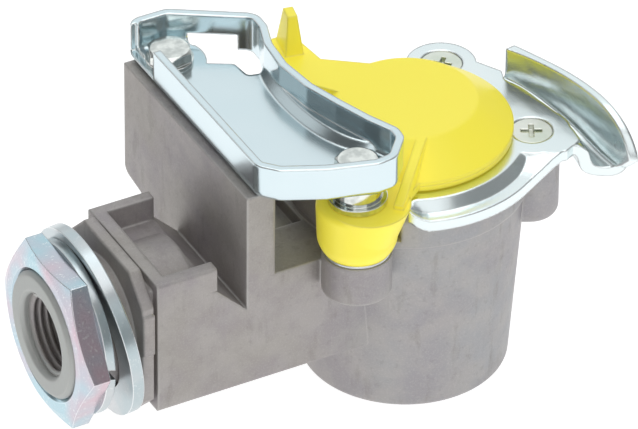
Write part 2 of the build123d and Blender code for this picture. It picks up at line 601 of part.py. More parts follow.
def bulkhead_nut():
    corner_r = NUT_ACROSS_FLATS / sqrt(3)
    bore_r = NIPPLE_R + THREAD_GAP
    face = Plane.YZ * RegularPolygon(NUT_ACROSS_FLATS / 2, 6, major_radius=False)
    hexes = Pos(NUT_FACE_X, 0, ARM_AXIS_Z) * extrude(face, NUT_HEIGHT)
    form = turned_on_arm([
        (NUT_FACE_X, bore_r + NUT_BORE_CHAMFER), (NUT_FACE_X, NUT_FACE_R), (NUT_FACE_X + NUT_CHAMFER, corner_r),
        (LOCK_FACE_X, corner_r), (LOCK_FACE_X, bore_r), (NUT_FACE_X + NUT_BORE_CHAMFER, bore_r),
    ])
    return hexes & form


def flange_bolt(place, z_seat, z_tip, turn):
    bolt = post(BOLT_R, z_tip, z_seat, place) + post(BOLT_FLANGE_R, z_seat, z_seat + BOLT_FLANGE_H, place)
    head = hexagon(BOLT_HEAD_FLATS, z_seat, z_seat + BOLT_HEAD_H, place, turn)
    corner = BOLT_HEAD_FLATS / sqrt(3)
    dome = Pos(place[0], place[1], z_seat) * turned([
        (0, 0), (corner, 0), (corner, BOLT_HEAD_H - BOLT_HEAD_EDGE), (BOLT_HEAD_TOP_R, BOLT_HEAD_H), (0, BOLT_HEAD_H)])
    return bolt + (head & dome)


def pivot_bush():
    bush = post(BUSH_BARREL_R, PIVOT_BOSS_TOP_Z, BUSH_HEAD_Z, PIVOT)
    bush += post(BUSH_FLANGE_R, BUSH_HEAD_Z, BUSH_HEAD_Z + BUSH_FLANGE_H, PIVOT)
    bush += post(BUSH_HEAD_R, BUSH_HEAD_Z, WALL_TOP_Z, PIVOT)
    return bush - post(BOLT_R + 2 * RUNNING, PIVOT_BOSS_TOP_Z, WALL_TOP_Z, PIVOT)


def thrust_washer():
    ring = post(HUB_BASE_R, PIVOT_BOSS_TOP_Z, PIVOT_BOSS_TOP_Z + THRUST_THICK, PIVOT)
    ring -= post(BUSH_BARREL_R + RUNNING, PIVOT_BOSS_TOP_Z, PIVOT_BOSS_TOP_Z + THRUST_THICK, PIVOT)
    return ring - spring_hole(PIVOT_BOSS_TOP_Z, PIVOT_BOSS_TOP_Z + THRUST_THICK)


def cover():
    dome = turned([
        (0, DISC_UNDER_Z + 1), (DISC_R - COVER_WALL, DISC_UNDER_Z + 1), (DISC_R - COVER_WALL, DISC_UNDER_Z),
        (DISC_R, DISC_UNDER_Z), (DISC_R, DISC_UNDER_Z + DISC_EDGE), (DOME_R, DOME_TOP_Z), (0, DOME_TOP_Z),
    ])
    dome = fillet(dome.edges().group_by(Axis.Z)[-1], DOME_ROUND)
    solid = dome + neck() + hub() + tail() + finger_tab() + ridge()
    rim_r, low_z = DISC_R - COVER_WALL, HUB_TOP_Z - NECK_THICK
    inside = turned([(0, low_z), (rim_r, low_z), (rim_r, DISC_UNDER_Z),
                     (DOME_R - COVER_WALL / 2, DOME_TOP_Z - COVER_WALL), (0, DOME_TOP_Z - COVER_WALL)])
    pad = post(PAD_R, DISC_UNDER_Z, DOME_TOP_Z) - post(PAD_BORE_R, DISC_UNDER_Z, DOME_TOP_Z)
    solid -= inside - pad
    solid -= post(BUSH_BARREL_R + RUNNING, HUB_BASE_Z, HUB_TOP_Z, PIVOT)
    solid -= post(HUB_CAVITY_R, HUB_BASE_Z, HUB_TOP_Z - HUB_WEB, PIVOT)
    return solid - spring_hole(HUB_TOP_Z - HUB_WEB, HUB_TOP_Z - HUB_WEB + COVER_HOOK + SEAT_GAP)


def neck():
    """Flat web from the hub to the disc."""
    reach = hypot(*PIVOT)
    turn = degrees(atan2(-PIVOT[1], -PIVOT[0]))
    side = sqrt(reach ** 2 - (NECK_R - HUB_TOP_R) ** 2)
    tilt = degrees(atan2(NECK_R - HUB_TOP_R, side))
    near = [at_angle(HUB_TOP_R, 90 + tilt), at_angle(HUB_TOP_R, -90 - tilt)]
    far = [at_angle(NECK_R, -90 - tilt), at_angle(NECK_R, 90 + tilt)]
    corners = near + [(reach + x, y) for x, y in far]
    web = prism(corners, HUB_TOP_Z - NECK_THICK, HUB_TOP_Z)
    return Pos(PIVOT[0], PIVOT[1], 0) * Rot(0, 0, turn) * web


def hub():
    lean = at_angle(HUB_LEAN, HUB_LEAN_ANGLE)
    low = Pos(PIVOT[0], PIVOT[1], HUB_BASE_Z) * Circle(HUB_BASE_R)
    belly_z = HUB_BASE_Z + HUB_BELLY_RISE
    side = Bezier((HUB_BASE_R, HUB_BASE_Z), (HUB_BELLY_R, HUB_BASE_Z + HUB_BELLY_RISE / 2), (HUB_BELLY_R, belly_z))
    edge = Bezier((HUB_TOP_R, HUB_TOP_Z - HUB_TOP_ROUND), (HUB_TOP_R, HUB_TOP_Z), (HUB_TOP_R - HUB_TOP_ROUND, HUB_TOP_Z))
    rest = Polyline((HUB_TOP_R - HUB_TOP_ROUND, HUB_TOP_Z), (0, HUB_TOP_Z), (0, HUB_BASE_Z), (HUB_BASE_R, HUB_BASE_Z))
    profile = make_face([side, Line((HUB_BELLY_R, belly_z), (HUB_TOP_R, HUB_TOP_Z - HUB_TOP_ROUND)), edge, rest])
    straight = Pos(PIVOT[0], PIVOT[1], 0) * revolve(Plane.XZ * profile, Axis.Z, 360)
    leaning = loft([low, Pos(PIVOT[0] + lean[0], PIVOT[1] + lean[1], HUB_TOP_Z) * Circle(HUB_TOP_R)])
    return straight + leaning


def spring_hole(z_low, z_high):
    """Hole for one of the cover spring's upright ends."""
    x, y = at_angle(COVER_COIL_R, COVER_SPRING_TURN)
    return post(COVER_HOOK_R + SEAT_GAP, z_low, z_high, (PIVOT[0] + x, PIVOT[1] + y))


def tail():
    return prism(TAIL, DOME_TOP_Z - TAIL_THICK, DOME_TOP_Z)


def finger_tab():
    low = Pos(0, 0, DOME_TOP_Z - TAIL_THICK) * Rectangle(*TAB_BASE)
    high = Pos(0, 0, TAB_TOP_Z) * Rectangle(*TAB_TIP)
    return Pos(TAB_PLACE[0], TAB_PLACE[1], 0) * Rot(0, 0, TAB_TURN) * loft([low, high])


def ridge():
    """Upright rib along the front edge of the neck, from the hub up to the dome."""
    lean = at_angle(RIDGE_START_R, HUB_LEAN_ANGLE)
    start = (PIVOT[0] + lean[0], PIVOT[1] + lean[1])
    run = (RIDGE_END[0] - start[0], RIDGE_END[1] - start[1])
    angle = degrees(atan2(run[1], run[0]))
    length = hypot(*run)
    low_z = HUB_TOP_Z - NECK_THICK
    side = Plane.XZ * outline([(0, low_z), (length, low_z), (length, DOME_TOP_Z),
                               (length - RIDGE_FLAT, DOME_TOP_Z), (0, HUB_TOP_Z + RIDGE_START_H)])
    return Pos(start[0], start[1], 0) * Rot(0, 0, angle) * extrude(side, RIB_THICK / 2, both=True)


def cover_spring():
    """Torsion spring: close coils, with one end upright in the boss and the other in the hub's web."""
    path = Helix(COVER_COIL_HEIGHT / COVER_TURNS, COVER_COIL_HEIGHT, COVER_COIL_R)
    section = Plane(path @ 0, z_dir=path % 0) * Circle(COVER_WIRE / 2)
    start, end = path @ 0, path @ 1
    spring = sweep(section, path)
    spring += post(COVER_HOOK_R, end.Z, HUB_TOP_Z - HUB_WEB + COVER_HOOK - COVER_COIL_Z, (end.X, end.Y))
    spring += post(COVER_HOOK_R, PIVOT_BOSS_TOP_Z - COVER_HOOK - COVER_COIL_Z, start.Z, (start.X, start.Y))
    return Pos(PIVOT[0], PIVOT[1], COVER_COIL_Z) * Rot(0, 0, COVER_SPRING_TURN) * spring


def step_face(z, share):
    """Level cut through the step of the bracket's floor, this share of the way up its slope."""
    line = [(x + share * STEP_RUN[0], y + share * STEP_RUN[1]) for x, y in STEP_LINE]
    back = Polyline(line[-1], (0, line[-1][1]), (0, line[0][1]), line[0])
    return Pos(0, 0, z) * make_face([Bezier(*line), back])


def top_bracket():
    outer = outline(BRACKET_OUTLINE)
    outer = fillet(outer.vertices(), BEND_R)
    blank = Pos(0, 0, WALL_TOP_Z) * extrude(outer, BRACKET_RIM_Z - WALL_TOP_Z)
    blank = fillet(blank.edges().group_by(Axis.Z)[0], BEND_UNDER_R)
    inner = offset(outer, -SHEET, kind=Kind.INTERSECTION)
    room = Pos(0, 0, FLOOR_TOP_Z) * extrude(inner, BRACKET_RIM_Z - FLOOR_TOP_Z)
    room = fillet(room.edges().group_by(Axis.Z)[0], BEND_INNER_R)
    step_z = FLOOR_TOP_Z + LEDGE_RISE
    step = loft([step_face(FLOOR_TOP_Z - STEP_SINK, -STEP_SINK / LEDGE_RISE), step_face(step_z, 1.0)])
    solid = (blank - room) + (step & blank)
    window = fillet(outline(WINDOW).vertices(), WINDOW_ROUND)
    window -= Pos(*REAR_BOLT) * Circle(WINDOW_LOBE_R)
    solid -= Pos(0, 0, WALL_TOP_Z) * extrude(inner & window, step_z - WALL_TOP_Z)
    strap = fillet(outline(STRAP_WINDOW).vertices(), WINDOW_ROUND)
    solid -= Pos(0, 0, WALL_TOP_Z) * extrude(strap, STRAP_LOW_Z - WALL_TOP_Z)
    # open corner at the rear left
    solid -= block((BRACKET_LEFT_X, RELIEF_Y, FLOOR_TOP_Z),
                   (BRACKET_LEFT_X + SHEET, BRACKET_REAR_Y - SHEET, BRACKET_RIM_Z))
    for place in (PIVOT, REAR_BOLT):
        solid -= post(BOLT_R + CLEARANCE_HOLE, WALL_TOP_Z, FLOOR_TOP_Z, place)
        solid -= post(BOLT_FLANGE_R + SEAT_GAP, FLOOR_TOP_Z, FLOOR_TOP_Z + BEND_INNER_R, place)
    return solid


def guide_ring():
    groove = GROOVE_SEAT_Z, GROOVE_SEAT_Z + 2 * CORD_R + SEAL_GAP
    side = SIDE_GROOVE_Z, SIDE_GROOVE_Z + 2 * CORD_R + SEAL_GAP
    bore = SLEEVE_R + RUNNING
    return turned([
        (bore, GUIDE_SEAT_Z), (GUIDE_R, GUIDE_SEAT_Z), (GUIDE_R, side[0]), (GUIDE_R - 2 * CORD_R, side[0]),
        (GUIDE_R - 2 * CORD_R, side[1]), (GUIDE_R, side[1]), (GUIDE_R, GUIDE_TOP_Z),
        (GUIDE_RECESS_R, GUIDE_TOP_Z), (GUIDE_RECESS_R, GUIDE_WEB_TOP_Z), (bore, GUIDE_WEB_TOP_Z),
        (bore, groove[1]), (bore + 2 * CORD_R + SEAL_GAP, groove[1]),
        (bore + 2 * CORD_R + SEAL_GAP, groove[0]), (bore, groove[0]),
    ])


def seal_ring(radius, z_low):
    return Pos(0, 0, z_low + CORD_R + SEAL_GAP / 2) * Torus(radius, CORD_R)


def retaining_ring():
    low, high = RING_SEAT_Z, RING_SEAT_Z + RING_THICK
    outer = GUIDE_R + RING_DEPTH - SEAT_GAP
    ring = post(outer, low, high) - post(outer - RING_WIDTH, low, high)
    reach = 2 * GUIDE_R
    half = RING_OPENING / 2
    ring -= prism([(0, 0), at_angle(reach, RING_TURN - half), at_angle(reach, RING_TURN + half)], low, high)
    eyes = [at_angle(outer - RING_WIDTH, RING_TURN + side * (half + RING_EYE_ANGLE)) for side in (-1, 1)]
    for eye in eyes:
        ring += post(RING_EYE_R, low, high, eye)
    for eye in eyes:
        ring -= post(RING_EYE_HOLE_R, low, high, eye)
    return ring


def valve_sleeve():
    seat_top = DISC_SEAT_Z - SEAT_GAP
    foot_low = SLEEVE_TOP_Z - SEAL_FOOT_DEPTH
    return turned([
        (SLEEVE_INLET_R, SLEEVE_BASE_Z), (SLEEVE_R, SLEEVE_BASE_Z), (SLEEVE_R, SLEEVE_FLANGE_Z),
        (SLEEVE_FLANGE_R, SLEEVE_FLANGE_Z), (SLEEVE_FLANGE_R, SLEEVE_TOP_Z),
        (SEAL_FOOT[1], SLEEVE_TOP_Z), (SEAL_FOOT[1], foot_low), (SEAL_FOOT[0], foot_low),
        (SEAL_FOOT[0], SLEEVE_TOP_Z), (SLEEVE_BORE_R, SLEEVE_TOP_Z), (SLEEVE_BORE_R, seat_top),
        (SLEEVE_SEAT_R, seat_top), (SLEEVE_SEAT_R, seat_top - SLEEVE_SEAT_THICK),
        (SLEEVE_INLET_R, seat_top - SLEEVE_SEAT_THICK - 2),
    ])


def face_seal():
    low = SLEEVE_TOP_Z - SEAL_FOOT_DEPTH
    return turned([
        (SEAL_FOOT[0], low), (SEAL_FOOT[1], low), (SEAL_FOOT[1], SLEEVE_TOP_Z), (SEAL_OUTER_R, SLEEVE_TOP_Z),
        (SEAL_OUTER_R, SLEEVE_TOP_Z + SEAL_LIP_RIM), (SEAL_OUTER_R - SEAL_LIP_CHAMFER, SEAL_TOP_Z),
        (SEAL_INNER_R + SEAL_LIP_CHAMFER, SEAL_TOP_Z), (SEAL_INNER_R, SEAL_TOP_Z - SEAL_LIP_CHAMFER),
        (SEAL_INNER_R, SLEEVE_TOP_Z), (SEAL_FOOT[0], SLEEVE_TOP_Z),
    ])


def valve_stem():
    foot_z = CHAMBER_FLOOR + FLOOR_BOSS_H
    return turned([
        (0, CHAMBER_FLOOR / 2 + 0.2), (STEM_R, CHAMBER_FLOOR / 2 + 0.2), (STEM_R, foot_z), (STEM_FOOT_R, foot_z),
        (STEM_FOOT_R, foot_z + STEM_FOOT_H), (STEM_R, foot_z + STEM_FOOT_H), (STEM_R, DISC_SEAT_Z - 3),
        (STEM_NECK_R, DISC_SEAT_Z - 1.2), (STEM_NECK_R, DISC_SEAT_Z), (STEM_R, DISC_SEAT_Z),
        (STEM_R, STEM_TOP_Z), (0, STEM_TOP_Z),
    ])


def washer(outer, bore, z_low, z_high):
    return post(outer, z_low, z_high) - post(bore, z_low, z_high)


def stem_nut():
    low = DISC_SEAT_Z + VALVE_DISC_H + BACKING_H
    return hexagon(STEM_NUT_FLATS, low, low + STEM_NUT_H) - post(STEM_R + THREAD_GAP, low, low + STEM_NUT_H)


def build():
    seat_z = CHAMBER_FLOOR + SPRING_SEAT_H
    disc_top = DISC_SEAT_Z + VALVE_DISC_H
    return {
        "body": casting(),
        "claw_plate": claw_plate(),
        "claw_screws": claw_screws(),
        "top_bracket": top_bracket(),
        "bracket_bolt": flange_bolt(REAR_BOLT, FLOOR_TOP_Z, WALL_TOP_Z - REAR_BOLT_LENGTH + 1, BOLT_TURNS[0]),
        "pivot_bolt": flange_bolt(PIVOT, FLOOR_TOP_Z, PIVOT_BOSS_TOP_Z - BOLT_DEPTH, BOLT_TURNS[1]),
        "pivot_bush": pivot_bush(),
        "thrust_washer": thrust_washer(),
        "cover": cover(),
        "cover_spring": cover_spring(),
        "bulkhead_nut": bulkhead_nut(),
        "bulkhead_washer": bulkhead_washer(),
        "lock_washer": lock_washer(),
        "face_seal": face_seal(),
        "valve_sleeve": valve_sleeve(),
        "sleeve_seal": seal_ring(SLEEVE_R + RUNNING + CORD_R + SEAL_GAP / 2, GROOVE_SEAT_Z),
        "guide_ring": guide_ring(),
        "guide_ring_seal": seal_ring(GUIDE_R - CORD_R, SIDE_GROOVE_Z),
        "retaining_ring": retaining_ring(),
        "valve_stem": valve_stem(),
        "valve_disc": washer(VALVE_DISC_R, STEM_R + THREAD_GAP, DISC_SEAT_Z, disc_top),
        "disc_backing": washer(BACKING_R, STEM_R + THREAD_GAP, disc_top, disc_top + BACKING_H),
        "stem_nut": stem_nut(),
        "return_spring": coil(RETURN_WIRE, RETURN_COIL_R, seat_z, SLEEVE_BASE_Z, RETURN_TURNS),
        "spring_seat": washer(SLEEVE_R + 1, FLOOR_BOSS_R + SEAT_GAP, CHAMBER_FLOOR, seat_z),
    }


os.makedirs("parts", exist_ok=True)
for name, shape in build().items():
    export_step(shape, f"parts/{name}.step")
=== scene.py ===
from math import cos, pi, radians, sin

import bmesh
import bpy
from mathutils import Matrix, Vector


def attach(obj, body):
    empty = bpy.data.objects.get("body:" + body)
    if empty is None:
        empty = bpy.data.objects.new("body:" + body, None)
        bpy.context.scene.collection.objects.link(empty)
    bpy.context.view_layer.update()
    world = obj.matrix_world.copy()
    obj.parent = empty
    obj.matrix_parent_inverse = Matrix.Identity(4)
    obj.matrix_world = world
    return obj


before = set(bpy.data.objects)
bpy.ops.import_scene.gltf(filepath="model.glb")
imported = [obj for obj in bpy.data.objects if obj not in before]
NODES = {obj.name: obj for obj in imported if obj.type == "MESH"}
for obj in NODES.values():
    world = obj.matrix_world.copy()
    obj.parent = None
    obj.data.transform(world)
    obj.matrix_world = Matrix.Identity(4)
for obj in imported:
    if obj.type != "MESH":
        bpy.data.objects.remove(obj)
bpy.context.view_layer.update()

# Looks of a palm-type quick coupling head. Lengths are in metres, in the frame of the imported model:
# the origin is the centre of the cup's base, Z is the cup's axis, and the nipple lies on the line
# y = 0, z = 37 mm.

MM = 0.001

# casting: its skin is warm on the arm and cool on the cup, and the nipple's end is turned
ARM_SKIN_X = -34.0 * MM
CUP_SKIN_X = -14.0 * MM
CAST_END_X = -96.6 * MM
TURNED_END_X = -97.0 * MM

# soft edges of the materials: cosines between soft and plain normal on a flat and at a sharp corner
BEVEL_SAMPLES = 12
FLAT_COSINE = 0.99
CORNER_COSINE = 0.8

# thread in the nipple's port, 14 turns to the inch; half widths of its ridge are shares of the pitch
NIPPLE_Z = 37.0 * MM
THREAD_ROOT_R = 10.52 * MM
THREAD_CREST_R = 9.35 * MM
THREAD_PITCH = 1.814 * MM
THREAD_FOOT = 0.47
THREAD_CREST = 0.09
THREAD_END_X = -97.6 * MM
THREAD_TURNS = 10
THREAD_START = radians(150.0)
STEPS_PER_TURN = 40
MERGE_GAP = 0.002 * MM

# rim under the edge of the cover
SKIRT_R = 25.7 * MM
SKIRT_DRAFT = 0.992
SKIRT_WALL = 1.2 * MM
SKIRT_TOP = 65.9 * MM
SKIRT_BASE = 64.35 * MM
SKIRT_ROUND = 0.15 * MM
SKIRT_SIDES = 144
SMOOTH_UNDER = radians(40.0)

# camera of the picture, 638 x 429 pixels
PICTURE_WIDTH = 638
FOCAL_PIXELS = 8160.0
SENSOR = 36.0
VIEW_DISTANCE = 2.0
VIEW_AZIMUTH = -28.6
VIEW_ELEVATION = 36.06
VIEW_ROLL = 0.49
VIEW_OFFSET = (20.68 * MM, -31.64 * MM)
VIEW_END = 10.0

# table and softboxes: place, point aimed at, width, depth and watts
FLOOR_HALF = 1.6
FRONT_SOFTBOX = ((-0.60, -1.92, 1.32), (0, 0, 0.03), 2.2, 2.2, 12.0)
TOP_SOFTBOX = ((0, 0, 1.6), (0, 0, 0), 1.55, 1.55, 9.0)

# light of the studio's air, and its bright and dark panels: direction, cosines of the rim and the core,
# and strength, which is negative on the dark one
AIR = 0.28
PANELS = (
    ((0.387, 0.710, 0.589), 0.70, 0.93, 0.70),
    ((-0.620, 0.620, 0.480), 0.945, 0.985, 0.6),
    ((-0.800, 0.350, 0.450), 0.50, 0.85, -0.17),
)


def colour(code):
    """Linear RGBA of an sRGB hex colour."""
    channels = [int(code[i:i + 2], 16) / 255 for i in (0, 2, 4)]
    linear = [c / 12.92 if c <= 0.04045 else ((c + 0.055) / 1.055) ** 2.4 for c in channels]
    return (*linear, 1.0)


def add(nodes, kind, settings=None, **inputs):
    """Adds a shader node. An input takes a value or another node's output.

    In an input's name _ stands for a space, and _0 is the input with the number 0.
    """
    node = nodes.new("ShaderNode" + kind)
    for name, value in (settings or {}).items():
        setattr(node, name, value)
    for name, value in inputs.items():
        key = int(name[1:]) if name[1:].isdigit() else name.replace("_", " ")
        socket = node.inputs[key]
        if isinstance(value, bpy.types.NodeSocket):
            nodes.id_data.links.new(value, socket)
        else:
            socket.default_value = value
    return node


def blank(name):
    """New material with its nodes cleared, and its Object coordinates."""
    material = bpy.data.materials.new(name)
    material.use_nodes = True
    nodes = material.node_tree.nodes
    nodes.clear()
    place = add(nodes, "TexCoord").outputs["Object"]
    return material, nodes, place


def noise(nodes, place, size_mm, detail=3.0, roughness=0.55):
    """Clouds or grain of a size in millimetres."""
    return add(nodes, "TexNoise", Vector=place, Scale=1000.0 / size_mm, Detail=detail,
               Roughness=roughness).outputs["Fac"]


def blend(nodes, share, first, second):
    """Colour between two, each a hex code or a socket, by a share."""
    mix = add(nodes, "Mix", {"data_type": "RGBA", "clamp_factor": True})
    ends = [colour(end) if isinstance(end, str) else end for end in (first, second)]
    for socket, value in zip((mix.inputs[0], mix.inputs[6], mix.inputs[7]), (share, *ends)):
        if isinstance(value, bpy.types.NodeSocket):
            nodes.id_data.links.new(value, socket)
        else:
            socket.default_value = value
    return mix.outputs[2]


def spread(nodes, value, low, high, to_low=0.0, to_high=1.0):
    """Carries a value from one range to another, held at its ends."""
    return add(nodes, "MapRange", Value=value, From_Min=low, From_Max=high,
               To_Min=to_low, To_Max=to_high).outputs[0]


def edge_share(nodes, radius_mm):
    """Soft edge normal, and how much of an edge a point is: 0 on a flat, 1 on a sharp corner."""
    soft = add(nodes, "Bevel", {"samples": BEVEL_SAMPLES}, Radius=radius_mm * MM).outputs["Normal"]
    plain = add(nodes, "NewGeometry").outputs["Normal"]
    across = add(nodes, "VectorMath", {"operation": "DOT_PRODUCT"}, _0=soft, _1=plain).outputs["Value"]
    return soft, spread(nodes, across, FLAT_COSINE, CORNER_COSINE)


def surface(material, nodes, **inputs):
    """Ends a material with its shader and output."""
    shader = add(nodes, "BsdfPrincipled", **inputs)
    add(nodes, "OutputMaterial", Surface=shader.outputs[0])
    return material


def cast_alloy():
    # Die-cast aluminium, shot blasted: a light grey skin, warmer on the arm than on the cup, matt, with a
    # fine grain, clouds and faint upright streaks of the casting flow, a painted highlight that lightens
    # the edges, and the nipple's end turned bright. The real grain of 0.2 mm is drawn at 0.45 mm to show.
    material, nodes, place = blank("blasted_cast_aluminium")
    upright = add(nodes, "Mapping", Vector=place, Scale=(1.0, 1.0, 0.22)).outputs[0]
    flow = noise(nodes, place, 24.0, 3.0)
    clouds = noise(nodes, place, 7.0, 4.0)
    streaks = noise(nodes, upright, 3.0, 3.0)
    grain = noise(nodes, place, 0.45, 2.0)
    pits = noise(nodes, place, 1.5, 3.0)
    soft, edge = edge_share(nodes, 1.2)
    along = add(nodes, "SeparateXYZ", Vector=place).outputs["X"]
    warm = blend(nodes, spread(nodes, flow, 0.38, 0.62), "a69e98", "a9a4a0")
    cool = blend(nodes, spread(nodes, flow, 0.38, 0.62), "a9a6a3", "aaaaad")
    base = blend(nodes, spread(nodes, along, ARM_SKIN_X, CUP_SKIN_X), warm, cool)
    base = blend(nodes, spread(nodes, flow, 0.60, 0.42, 0.0, 0.40), base, "a39fab")
    base = blend(nodes, spread(nodes, clouds, 0.40, 0.62, 0.0, 0.45), base, "bab6b2")
    base = blend(nodes, spread(nodes, streaks, 0.42, 0.30, 0.0, 0.35), base, "8f8a84")
    base = blend(nodes, spread(nodes, grain, 0.50, 0.75, 0.0, 0.24), base, "d3cfcb")
    base = blend(nodes, spread(nodes, pits, 0.30, 0.42, 0.18, 0.0), base, "7d7873")
    base = blend(nodes, spread(nodes, along, CAST_END_X, TURNED_END_X, 0.0, 0.8), base, "bcc0bd")
    # painted highlight: sharp edges lightened towards pale grey
    base = blend(nodes, spread(nodes, edge, 0.0, 1.0, 0.0, 0.8), base, "cfccc9")
    rough = add(nodes, "Bump", Strength=0.35, Distance=0.06 * MM, Height=grain, Normal=soft).outputs[0]
    rough = add(nodes, "Bump", Strength=0.35, Distance=0.15 * MM, Height=pits, Normal=rough).outputs[0]
    return surface(material, nodes, Base_Color=base, Metallic=0.45, Roughness=0.55, Normal=rough)


def zinc_sheet(name, tints, dull, waviness, wave_mm):
    """Pressed steel sheet with blue passivated zinc: glossy and even, more or less wavy from the press."""
    material, nodes, place = blank(name)
    clouds = noise(nodes, place, 22.0, 2.0)
    waves = noise(nodes, place, wave_mm, 1.0)
    soft, edge = edge_share(nodes, 1.0)
    base = blend(nodes, clouds, *tints)
    # painted highlight: sharp edges lightened almost to white
    base = blend(nodes, edge, base, "f4f9f9")
    rough = spread(nodes, clouds, 0.3, 0.7, dull - 0.03, dull + 0.03)
    skin = add(nodes, "Bump", Strength=waviness, Distance=0.4 * MM, Height=waves, Normal=soft).outputs[0]
    return surface(material, nodes, Base_Color=base, Metallic=1.0, Roughness=rough, Normal=skin)


def turned_metal(name, tints, edge_highlight, dull, speckle, cloud_mm):
    """Turned, pressed or drawn metal, plated or bare: two tints in clouds, a painted highlight on the
    edges, and bright specks.
    """
    material, nodes, place = blank(name)
    clouds = noise(nodes, place, cloud_mm, 2.0)
    specks = noise(nodes, place, 0.9, 2.0, 0.7)
    soft, edge = edge_share(nodes, 0.45)
    base = blend(nodes, spread(nodes, clouds, 0.38, 0.62), *tints)
    base = blend(nodes, spread(nodes, specks, 0.60, 0.68, 0.0, speckle), base, "f4f6f4")
    # painted highlight: sharp edges take the pale edge tint
    base = blend(nodes, edge, base, edge_highlight)
    skin = add(nodes, "Bump", Strength=dull, Distance=0.08 * MM, Height=specks, Normal=soft).outputs[0]
    return surface(material, nodes, Base_Color=base, Metallic=1.0, Roughness=dull, Normal=skin)


def yellow_moulding():
    # Injection-moulded polyamide dyed signal yellow: satin gloss, slightly translucent, with a faint grain
    # from the mould, a painted highlight on its edges, and a faint painted glow that lifts its shade.
    material, nodes, place = blank("moulded_yellow_polyamide")
    clouds = noise(nodes, place, 20.0, 2.0)
    grain = noise(nodes, place, 0.7, 2.0)
    soft, edge = edge_share(nodes, 0.9)
    base = blend(nodes, clouds, "fff04a", "fff352")
    # painted highlight: sharp edges lightened towards pale yellow
    base = blend(nodes, spread(nodes, edge, 0.0, 1.0, 0.0, 0.4), base, "fff79a")
    skin = add(nodes, "Bump", Strength=0.15, Distance=0.05 * MM, Height=grain, Normal=soft).outputs[0]
    # painted glow: the emission makes the cover, which is no lamp, give off a faint yellow light
    return surface(material, nodes, Base_Color=base, Roughness=0.38, IOR=1.5, Subsurface_Weight=0.08,
                   Subsurface_Radius=(0.004, 0.003, 0.001), Normal=skin,
                   Emission_Color=colour("ffe640"), Emission_Strength=0.16)


def moulded_black(name, tint, dull, grain_mm):
    """Black rubber or plastic with a fine moulded grain."""
    material, nodes, place = blank(name)
    grain = noise(nodes, place, grain_mm, 2.0)
    soft, edge = edge_share(nodes, 0.3)
    base = blend(nodes, spread(nodes, grain, 0.3, 0.7, 0.0, 0.6), tint, "2b2b2c")
    skin = add(nodes, "Bump", Strength=0.3, Distance=0.05 * MM, Height=grain, Normal=soft).outputs[0]
    return surface(material, nodes, Base_Color=base, Roughness=dull, IOR=1.5, Normal=skin)


def lit_table():
    # Opal acrylic table lit from below: it is white by its own light, and takes only a faint shadow.
    material, nodes, place = blank("opal_acrylic_table")
    clouds = noise(nodes, place, 30.0, 2.0)
    base = blend(nodes, clouds, "a8a8a8", "acacac")
    return surface(material, nodes, Base_Color=base, Roughness=0.9, Emission_Color=(1.0, 1.0, 1.0, 1.0),
                   Emission_Strength=0.86)


FINISHES = {
    "cast": cast_alloy(),
    # Top bracket: folded from flat sheet, so it stays even.
    "sheet": zinc_sheet("blue_zinc_folded_sheet", ("d3e3e8", "dde9ed"), 0.19, 0.08, 9.0),
    # Claw plate: drawn deeper, a little duller and wavy.
    "drawn": zinc_sheet("blue_zinc_drawn_sheet", ("e0ecee", "f0f5f5"), 0.25, 0.40, 6.0),
    # Machined hexagon nut, iridescent pink and blue from its thin passivation.
    "nut": turned_metal("iridescent_zinc_nut", ("d3bcc6", "b4d0da"), "f6f8fa", 0.25, 0.45, 18.0),
    # Pressed washers: greenish grey zinc, with a painted highlight on their edges.
    "washer": turned_metal("grey_zinc_washer", ("bac7cb", "cdd0d2"), "ffffff", 0.28, 0.25, 16.0),
    # Screws: satin yellowish zinc.
    "screw": turned_metal("yellowish_zinc_screw", ("d6ddd0", "e6e8e0"), "fbfbf4", 0.28, 0.20, 8.0),
    # Bolts and bush: bright zinc, nearly a mirror.
    "bright": turned_metal("bright_zinc_bolt", ("c9cdca", "e9ece8"), "ffffff", 0.12, 0.10, 3.0),
    # Spring wire: darker drawn steel.
    "spring": turned_metal("drawn_spring_steel", ("6f7173", "8b8d8e"), "c9cbcc", 0.32, 0.10, 16.0),
    # Turned brass of the valve.
    "brass": turned_metal("turned_brass", ("c29a4a", "d3b068"), "f0dca0", 0.28, 0.10, 16.0),
    "yellow": yellow_moulding(),
    # Nitrile seals: matt black.
    "rubber": moulded_black("moulded_nitrile_rubber", "161616", 0.62, 0.8),
    # Guide ring: glass-filled black polyamide.
    "plastic": moulded_black("glass_filled_polyamide", "1d1d1f", 0.45, 0.9),
}

NODE_FINISH = {
    "body": "cast", "claw_plate": "drawn", "top_bracket": "sheet", "cover": "yellow", "bulkhead_nut": "nut",
    "bulkhead_washer": "washer", "lock_washer": "washer", "claw_screws": "screw", "bracket_bolt": "bright",
    "pivot_bolt": "bright", "pivot_bush": "bright", "thrust_washer": "washer", "cover_spring": "spring",
    "return_spring": "spring", "retaining_ring": "spring", "spring_seat": "washer", "stem_nut": "screw",
    "valve_sleeve": "brass", "valve_stem": "brass", "disc_backing": "brass", "face_seal": "rubber",
    "sleeve_seal": "rubber", "guide_ring_seal": "rubber", "valve_disc": "rubber", "guide_ring": "plastic",
}


def dress(piece, finish):
    """Gives a piece its finish."""
    piece.data.materials.clear()
    piece.data.materials.append(FINISHES[finish])


def only(piece):
    """Leaves one object selected and active."""
    bpy.ops.object.select_all(action="DESELECT")
    piece.select_set(True)
    bpy.context.view_layer.objects.active = piece


def settle(piece, finish, body):
    """Puts a piece's place into its mesh, gives it its finish and lets it ride on a body."""
    only(piece)
    bpy.ops.object.transform_apply(location=True, rotation=True, scale=True)
    dress(piece, finish)
    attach(piece, body)


